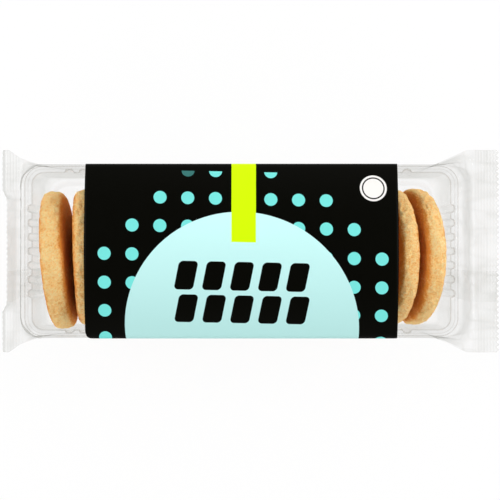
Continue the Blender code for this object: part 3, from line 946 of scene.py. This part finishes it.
    def build(self) -> bpy.types.Object:
        """Makes the tray: the rings of its profile, a floor shrinking to its middle, and a wall."""
        points, edge = self.points()
        shrink = np.array((0.97, 0.9, 0.75, 0.5, 0.25, 0.05))[:, None, None]
        middle = np.array((self.form.centre_x, 0.0, self.floor_height))
        floor = middle + (points[-1:] - middle) * shrink
        points = np.concatenate((points, floor))
        edge = np.concatenate((edge, np.zeros(floor.shape[:2])))
        levels, count = points.shape[:2]
        faces = grid_quads(levels, count, round_columns=True)[:, ::-1].tolist()
        last = (levels - 1) * count
        ring = np.arange(count)
        hub = levels * count
        faces += np.stack((last + ring, last + (ring + 1) % count, np.full(count, hub)), axis=-1).tolist()
        points = np.concatenate((points.reshape(-1, 3), middle[None]))
        edge = np.append(edge.ravel(), 0.0)
        tray = new_piece("tray", points, faces, TRAY.build(), "tray_plastic",
                         marks={"crease_and_shade": edge, "haze": 0.0 * edge})
        wall = tray.modifiers.new("wall", "SOLIDIFY")
        wall.thickness = self.thickness
        wall.offset = -1.0
        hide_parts(PACK_NODE)
        return tray


# ---------------------------------------------------------------- biscuits


@dataclass
class Biscuit:
    """One round shortbread biscuit on edge: a disc with fully rounded edges and a crumbly skin."""

    x: float
    lean: float = 0.0
    yaw: float = 0.0
    y: float = -0.0031
    radius: float = 0.0309
    squash: float = 1.0
    thickness: float = 0.0094
    dome: float = 0.0004
    face_calm: float = 0.6
    corner: float = 2.6
    seed: int = 0
    fine: bool = False
    floor: float = 0.0011

    def surface(self) -> tuple[np.ndarray, np.ndarray]:
        """The biscuit's skin in its own frame, X through its thickness, and how browned and shaded it is painted.

        Its profile runs out over one domed face, round the edge on a superellipse, which is flatter
        than an ellipse and turns tighter corners, and back over the other face, and turns about X.
        Noise of three sizes moves each point along its normal: dents and swells of centimetres,
        lumps of some millimetres, and the crumb. The faces, baked flat, have less of it.
        """
        turns, face_rows, edge_rows = (320, 20, 30) if self.fine else (180, 10, 16)
        half = self.thickness / 2.0
        round_off = 0.92 * half
        rho = np.linspace(0.004, self.radius - round_off, face_rows)
        dome = self.dome * (1.0 - (rho / (self.radius - round_off)) ** 2)
        angle = np.linspace(-math.pi / 2.0, math.pi / 2.0, edge_rows)[1:-1]
        power = 2.0 / self.corner
        edge_rho = self.radius - round_off + round_off * np.cos(angle) ** power
        edge_through = half * np.sign(angle) * np.abs(np.sin(angle)) ** power
        rho = np.concatenate((rho, edge_rho, rho[::-1]))
        through = np.concatenate((-half - dome, edge_through, (half + dome)[::-1]))
        turn = np.linspace(0.0, 2.0 * math.pi, turns, endpoint=False)
        points = np.empty((len(rho), turns, 3))
        points[..., 0] = through[:, None]
        points[..., 1] = rho[:, None] * np.cos(turn)
        points[..., 2] = rho[:, None] * np.sin(turn) * self.squash
        wrapped = np.concatenate((points[:, -1:], points, points[:, :1]), axis=1)
        normals = -grid_normals(wrapped)[:, 1:-1]
        shift = np.array((self.seed * 0.07, self.seed * 0.11, 0.0))
        place = points + 0.5 + shift
        swell = fractal(place, 0.016, 2, 100 + self.seed) * 0.00045
        lumps = fractal(place, 0.0045, 2, 200 + self.seed) * 0.00042
        crumb = fractal(place, 0.0014, 2, 300 + self.seed) * 0.00055
        pits = np.minimum(value_noise(place, 0.0021, 400 + self.seed) - 0.30, 0.0) * 0.0014
        # baked is how far a point lies onto a face. The faces are painted browner, partly as baked colour and
        # partly as painted shade of the faces that stand between the biscuits.
        baked = ease((np.abs(through) / half - 0.62) / 0.4)[:, None] * np.ones((1, turns))
        height = (swell + lumps + crumb + pits) * (1.0 - self.face_calm * baked)
        points = points + normals * height[..., None]
        # Painted shade and highlight: the crumb's dents are painted browner and its lumps paler.
        return points, np.clip(0.10 + 0.75 * baked - 500.0 * (lumps + crumb), 0.0, 1.2)

    def build(self, name: str, material: bpy.types.Material) -> bpy.types.Object:
        """Stands the biscuit in the tray: leans it about Y, turns it about Z, and sets it down."""
        points, browning_and_shade = self.surface()
        rows, turns = points.shape[:2]
        hubs = np.stack((points[0].mean(axis=0), points[-1].mean(axis=0)))
        flat = np.concatenate((points.reshape(-1, 3), hubs))
        c, s = math.cos(self.lean), math.sin(self.lean)
        leaned = flat @ np.array(((c, 0.0, -s), (0.0, 1.0, 0.0), (s, 0.0, c)))
        c, s = math.cos(self.yaw), math.sin(self.yaw)
        turned = leaned @ np.array(((c, s, 0.0), (-s, c, 0.0), (0.0, 0.0, 1.0)))
        placed = turned + (self.x, self.y, self.floor - turned[:, 2].min())
        faces = grid_quads(rows, turns, round_columns=True)[:, ::-1].tolist()
        count = rows * turns
        faces += [face[::-1] for face in pole_fans(rows, turns, count, count + 1)]
        browning_and_shade = np.concatenate((browning_and_shade.ravel(), (browning_and_shade[0].mean(), browning_and_shade[-1].mean())))
        piece = new_piece(name, placed, faces, material, "biscuit", marks={"browning_and_shade": browning_and_shade})
        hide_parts(PACK_NODE)
        return piece


@dataclass
class BiscuitRow:
    """Fifteen biscuits on edge, the first nearly upright by the left wall, the rest leaning more and more."""

    form: WrapForm
    count: int = 15
    second_x: float = -0.0743
    last_x: float = 0.0749
    packing: float = 0.03
    first_yaw: float = math.radians(2.0)
    second_lean: float = math.radians(2.3)
    last_lean: float = math.radians(15.5)

    def biscuits(self) -> list[Biscuit]:
        """The biscuits in order. The end ones are set one by one; the others vary a little."""
        random = np.random.default_rng(7)
        row = [Biscuit(-0.08675, math.radians(-1.0), math.radians(4.6), -0.0040, 0.0312, 0.965, 0.0100, 0.0003,
                       seed=1, fine=True)]
        for i in range(1, self.count):
            share = (i - 1) / (self.count - 2)
            wobble = random.uniform(-1.0, 1.0, 6)
            end = i in (1, self.count - 2, self.count - 1)
            loose = 0.0 if end else 1.0
            row.append(Biscuit(
                x=mix(self.second_x, self.last_x, share * (1.0 + self.packing * (1.0 - share)))
                + 0.00015 * loose * wobble[0],
                lean=mix(self.second_lean, self.last_lean, share) + math.radians(0.3) * loose * wobble[1],
                yaw=self.first_yaw * (1.0 - share) ** 5 + math.radians(0.3) * wobble[2],
                y=-0.0026 + 0.0002 * wobble[3],
                radius=0.0307 + 0.0002 * wobble[4],
                squash=0.995,
                thickness=mix(0.0092, 0.0082, share) + 0.0001 * wobble[5],
                seed=i + 1,
                fine=end))
        return row

    def build(self) -> list[bpy.types.Object]:
        """Makes every biscuit in one shared finish."""
        material = BakedCrumb().build()
        return [b.build(f"biscuit_{i + 1:02d}", material) for i, b in enumerate(self.biscuits())]


# ---------------------------------------------------------------- label


@dataclass
class Label:
    """The gummed label: over the crown, just past the front rim's edge, and down the back wall."""

    form: WrapForm
    gap: float = 0.00025
    thickness: float = 0.00012
    corner: float = 0.0042
    front_overlap: float = 0.0012
    back_drop: float = 0.0440
    skew: float = -0.021
    columns: int = 120
    row_step: float = 0.0005

    def path(self) -> tuple[np.ndarray, np.ndarray, np.ndarray]:
        """The line the label follows round the full section.

        Returns:
            Arc lengths from the middle of the top towards +Y, the points (Y, Z), and outward
            normals, which are the line's direction turned by a right angle.
        """
        upper = self.form.runs(np.array([self.form.crown_angle]), Layer.UPPER)[0]
        lower = self.form.runs(np.array([self.form.crown_angle]), Layer.LOWER)[0]
        walls = self.form.wall_steps
        line = np.concatenate((lower[walls:0:-1], upper, lower[-2:-2 - walls:-1]))
        steps = np.hypot(*np.diff(line, axis=0).T)
        along = np.concatenate(([0.0], np.cumsum(steps)))
        way = np.gradient(line, axis=0)
        way /= np.linalg.norm(way, axis=1, keepdims=True)
        return along - along[-1] / 2.0, line, np.stack((-way[:, 1], way[:, 0]), axis=-1)

    def build(self) -> bpy.types.Object:
        """Makes the sheet: rows by arc length and columns by X, with rounded corners.

        A row's arc length runs askew in front, by the skew times X, which fades to none at the
        middle of the top. A row near the front or back edge is shorter, by a circle's arc. The
        print runs askew all over, by the same skew.
        """
        along, line, out = self.path()
        rim = along[self.form.steps]
        front, back = -rim - self.front_overlap, rim + self.back_drop
        count = round((back - front - 2.0 * self.corner) / self.row_step)
        turn = np.linspace(0.0, math.pi / 2.0, 9)
        eased = self.corner * (1.0 - np.cos(turn))
        rows = np.concatenate((front + eased[:-1], np.linspace(front + self.corner, back - self.corner, count),
                               (back - eased[:-1])[::-1]))
        from_edge = np.minimum(np.minimum(rows - front, back - rows), self.corner)
        inset = self.corner - np.sqrt(self.corner ** 2 - (self.corner - from_edge) ** 2)
        across = np.linspace(-1.0, 1.0, self.columns + 1)[None] * (self.form.label_length / 2.0 - inset)[:, None]
        share = np.clip(rows / (front + 2.0 * self.corner), 0.0, 1.0)[:, None]
        place = rows[:, None] + share * self.skew * across
        middle = np.stack([np.interp(place, along, values) for values in line.T], axis=-1)
        outward = np.stack([np.interp(place, along, values) for values in out.T], axis=-1)
        outward /= np.linalg.norm(outward, axis=-1, keepdims=True)
        grids = []
        for lift in (self.gap + self.thickness, self.gap):
            grid = np.empty((*across.shape, 3))
            grid[..., 0] = self.form.centre_x + across
            grid[..., 1:] = middle + outward * lift
            grids.append(grid)
        points, faces = closed_sheet(*grids)
        flat = np.stack((self.form.centre_x + across, place - self.skew * across), axis=-1)
        sheet = new_piece("label_sheet", points, faces, PrintedLabel().build(), "label_print",
                          uv=np.stack((flat, flat)))
        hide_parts(LABEL_NODE)
        return sheet


# ---------------------------------------------------------------- stage


@dataclass
class Studio:
    """A pale floor, soft white lamps, a plain sky and the camera over the pack."""

    floor_level: float = -0.0004
    floor_size: float = 3.0
    floor_glow: float = 0.94
    camera_height: float = 0.7570
    frame_width: float = 0.2200
    frame_height: float = 0.0570
    camera_place: tuple = (0.0, 0.0005)

    def floor(self) -> bpy.types.Object:
        """The floor: white to the eye and in mirrors, and part diffuse so that a shadow lies on it."""
        material, tree, output = new_material("matt_white_studio_floor")
        plain = add_node(tree, "ShaderNodeBsdfDiffuse", {"Color": linear("#ffffff")})
        glow = add_node(tree, "ShaderNodeEmission", {"Color": (1.0, 1.0, 1.0, 1.0), "Strength": 1.0})
        rays = add_node(tree, "ShaderNodeLightPath")
        seen = add_node(tree, "ShaderNodeMath", {0: rays.outputs["Is Camera Ray"],
                                                 1: rays.outputs["Is Glossy Ray"]}, operation="MAXIMUM")
        seen = add_node(tree, "ShaderNodeMath", {0: seen.outputs[0], 1: rays.outputs["Is Transmission Ray"]},
                        operation="MAXIMUM")
        share = add_node(tree, "ShaderNodeMath", {0: seen.outputs[0], 1: self.floor_glow},
                         operation="MULTIPLY")
        mixed = add_node(tree, "ShaderNodeMixShader", {0: share.outputs[0], 1: plain.outputs[0],
                                                       2: glow.outputs[0]})
        tree.links.new(mixed.outputs[0], output.inputs["Surface"])
        half = self.floor_size / 2.0
        points = np.array(((-half, -half, 0.0), (half, -half, 0.0), (half, half, 0.0), (-half, half, 0.0)))
        floor = new_piece("floor", points + (0.0, 0.0, self.floor_level), [[0, 1, 2, 3]], material, None)
        return floor

    def sky(self) -> None:
        """A white sweep near the horizon that dims to a grey ceiling overhead."""
        world = bpy.data.worlds.new("white_sweep_and_dim_ceiling")
        bpy.context.scene.world = world
        world.use_nodes = True
        tree = world.node_tree
        tree.nodes.clear()
        way = add_node(tree, "ShaderNodeTexCoord").outputs["Generated"]
        height = add_node(tree, "ShaderNodeSeparateXYZ", {0: way}).outputs[2]
        shade = add_node(tree, "ShaderNodeMapRange", {"Value": height, "From Min": 0.22, "From Max": 0.75,
                                                      "To Min": 1.0, "To Max": 0.24},
                         interpolation_type="SMOOTHSTEP")
        light = add_node(tree, "ShaderNodeBackground", {"Color": (1.0, 1.0, 1.0, 1.0),
                                                        "Strength": shade.outputs[0]})
        output = add_node(tree, "ShaderNodeOutputWorld")
        tree.links.new(light.outputs[0], output.inputs["Surface"])

    def lamp(self, name: str, azimuth: float, elevation: float, distance: float, size: float,
             power: float) -> None:
        """A square area lamp that looks at the pack from an azimuth and elevation in degrees."""
        data = bpy.data.lights.new(name, "AREA")
        data.size, data.energy, data.color = size, power, (1.0, 1.0, 1.0)
        lamp = bpy.data.objects.new(name, data)
        turn, up = math.radians(azimuth), math.radians(elevation)
        lamp.location = (distance * math.cos(up) * math.cos(turn), distance * math.cos(up) * math.sin(turn),
                         distance * math.sin(up) + 0.03)
        lamp.rotation_euler = (math.pi / 2.0 - up, 0.0, turn + math.pi / 2.0)
        bpy.context.scene.collection.objects.link(lamp)

    def camera(self) -> None:
        """The camera straight above, whose frame is as wide as asked at the tray's rim."""
        data = bpy.data.cameras.new("camera")
        data.sensor_width = 36.0
        data.lens = data.sensor_width * (self.camera_height - self.frame_height) / self.frame_width
        camera = bpy.data.objects.new("camera", data)
        camera.location = (*self.camera_place, self.camera_height)
        bpy.context.scene.collection.objects.link(camera)
        bpy.context.scene.camera = camera

    def build(self) -> None:
        """Sets the stage."""
        self.floor()
        self.sky()
        self.lamp("right_softbox", 12.0, 36.0, 0.95, 0.50, 4.4)
        self.lamp("left_softbox", 168.0, 38.0, 0.95, 0.50, 3.4)
        self.lamp("front_softbox", 262.0, 34.0, 0.95, 0.60, 1.2)
        self.lamp("back_softbox", 78.0, 34.0, 0.95, 0.60, 1.5)
        self.camera()
        scene = bpy.context.scene
        scene.view_settings.view_transform = "Standard"
        scene.cycles.transparent_max_bounces = 40


def main() -> None:
    """Builds the pack from the film inwards, then the stage."""
    logging.basicConfig(level=logging.INFO, format="%(message)s")
    form = WrapForm()
    Studio().build()
    for builder in (Film(form), Tray(form), BiscuitRow(form), Label(form)):
        builder.build()
        log.info("%s is built", type(builder).__name__)


if __name__ == "__main__":
    main()
